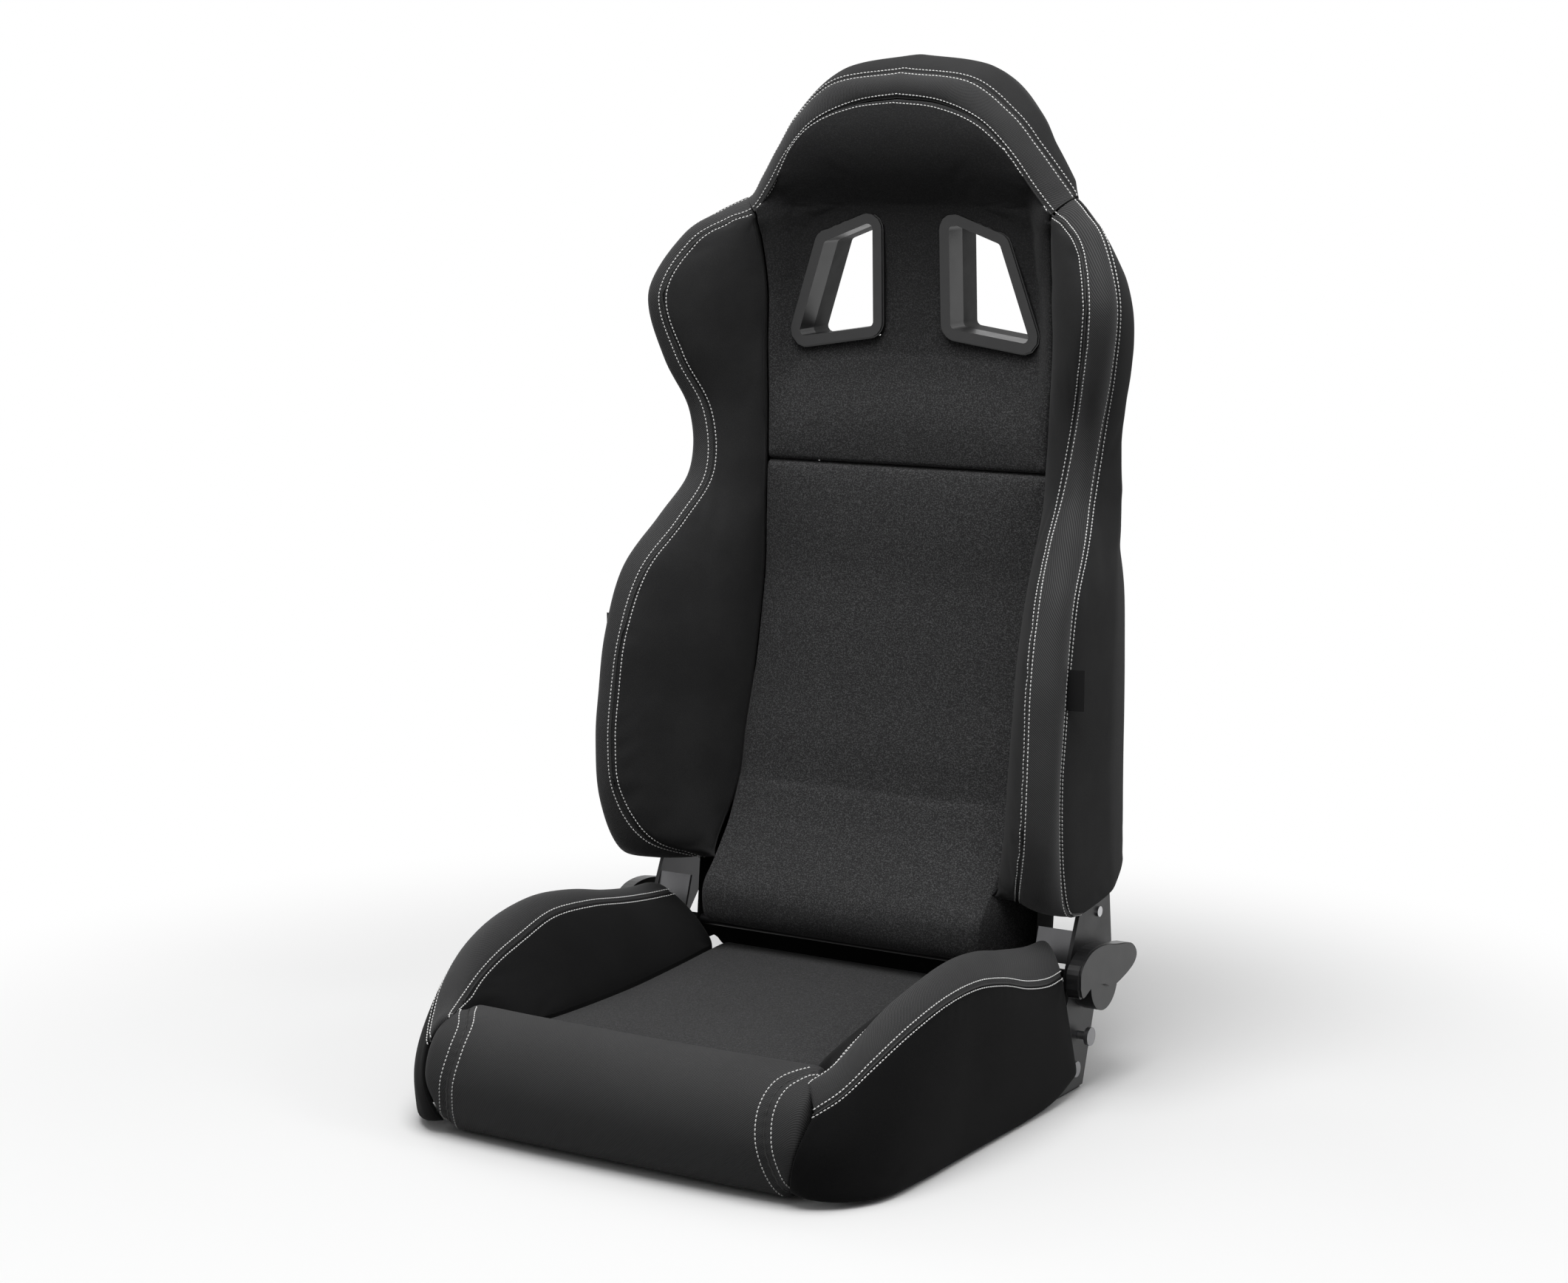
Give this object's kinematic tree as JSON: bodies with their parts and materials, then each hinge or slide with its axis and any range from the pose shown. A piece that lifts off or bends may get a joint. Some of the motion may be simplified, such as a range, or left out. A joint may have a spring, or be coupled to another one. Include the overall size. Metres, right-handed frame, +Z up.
{
  "type": "reclining sport seat",
  "caption": "Padded bucket seat with a reclining backrest, built-in headrest, two harness slots, deep side bolsters and a side release lever.",
  "frame": {"origin": "centre of the rectangle of floor-bolt holes, on the floor plane under the base", "axes": "+Z up along the backrest, -Y the way the sitter faces, +X to the left of a sitter looking forwards"},
  "size_m": [0.528, 0.6093, 0.9709],
  "materials": {
    "knit_fabric": "speckled knit over foam",
    "twill_fabric": "fine twill over foam",
    "plain_fabric": "smooth suede-like fabric over foam",
    "webbing": "woven strap",
    "tag_fabric": "woven tag, blank",
    "black_plastic": "fine matte",
    "black_steel": "black satin coat",
    "bright_steel": "satin zinc"
  },
  "bodies": {
    "base": {"base_side_frame_left": "black_steel", "base_side_frame_right": "black_steel", "base_front_tube": "black_steel", "base_rear_tube": "black_steel", "seat_webbing": "webbing", "floor_nuts": "bright_steel", "seat_insert": "knit_fabric", "seat_bolster_left": "plain_fabric", "seat_bolster_right": "plain_fabric", "seat_side_panel_left": "plain_fabric", "seat_side_panel_right": "plain_fabric", "front_roll": "twill_fabric", "lower_recliner_plate_left": "black_steel", "lower_recliner_plate_right": "black_steel", "hinge_bush_left": "bright_steel", "hinge_bush_right": "bright_steel", "hinge_cover_left": "black_plastic", "hinge_cover_right": "black_plastic", "latch_stud_left": "bright_steel", "latch_stud_right": "bright_steel", "frame_bolts": "bright_steel"},
    "release_levers": {"lever_shaft": "bright_steel", "release_lever_left": "black_plastic", "release_lever_right": "black_plastic"},
    "pawl_left": {"latch_pawl_left": "bright_steel"},
    "pawl_right": {"latch_pawl_right": "bright_steel"},
    "backrest": {"back_hoop": "black_steel", "back_cross_tubes": "black_steel", "back_webbing": "webbing", "upper_recliner_plate_left": "black_steel", "upper_recliner_plate_right": "black_steel", "plate_screws": "bright_steel", "back_insert_lower": "knit_fabric", "back_insert_upper": "knit_fabric", "back_bolster_left": "plain_fabric", "back_bolster_right": "plain_fabric", "back_side_panel_left": "plain_fabric", "back_side_panel_right": "plain_fabric", "head_band": "twill_fabric", "back_rear_cover": "plain_fabric", "back_valance": "plain_fabric", "harness_bezel_left": "black_plastic", "harness_bezel_right": "black_plastic", "harness_tunnel_left": "black_plastic", "harness_tunnel_right": "black_plastic", "fabric_tag_left": "tag_fabric", "fabric_tag_right": "tag_fabric"}
  },
  "joints": [
    {"name": "backrest_recline", "type": "hinge", "parent": "base", "child": "backrest", "pos_m": [0, 0.17, 0.106], "axis": [-1, 0, 0], "range_deg": [-8, 60]},
    {"name": "lever_lift", "type": "hinge", "parent": "base", "child": "release_levers", "pos_m": [0, 0.17, 0.106], "axis": [1, 0, 0], "range_deg": [0, 25], "stiffness_Nm_per_rad": 1.5, "springref_deg": -11.46},
    {"name": "pawl_release_left", "type": "hinge", "parent": "base", "child": "pawl_left", "pos_m": [-0.2355, 0.156, 0.054], "axis": [1, 0, 0], "range_deg": [0, 12.6]},
    {"name": "pawl_release_right", "type": "hinge", "parent": "base", "child": "pawl_right", "pos_m": [0.2355, 0.156, 0.054], "axis": [1, 0, 0], "range_deg": [0, 12.6]}
  ],
  "couplings": [
    {"joint": "pawl_release_left", "follows": "lever_lift", "ratio": 0.5},
    {"joint": "pawl_release_right", "follows": "lever_lift", "ratio": 0.5}
  ]
}
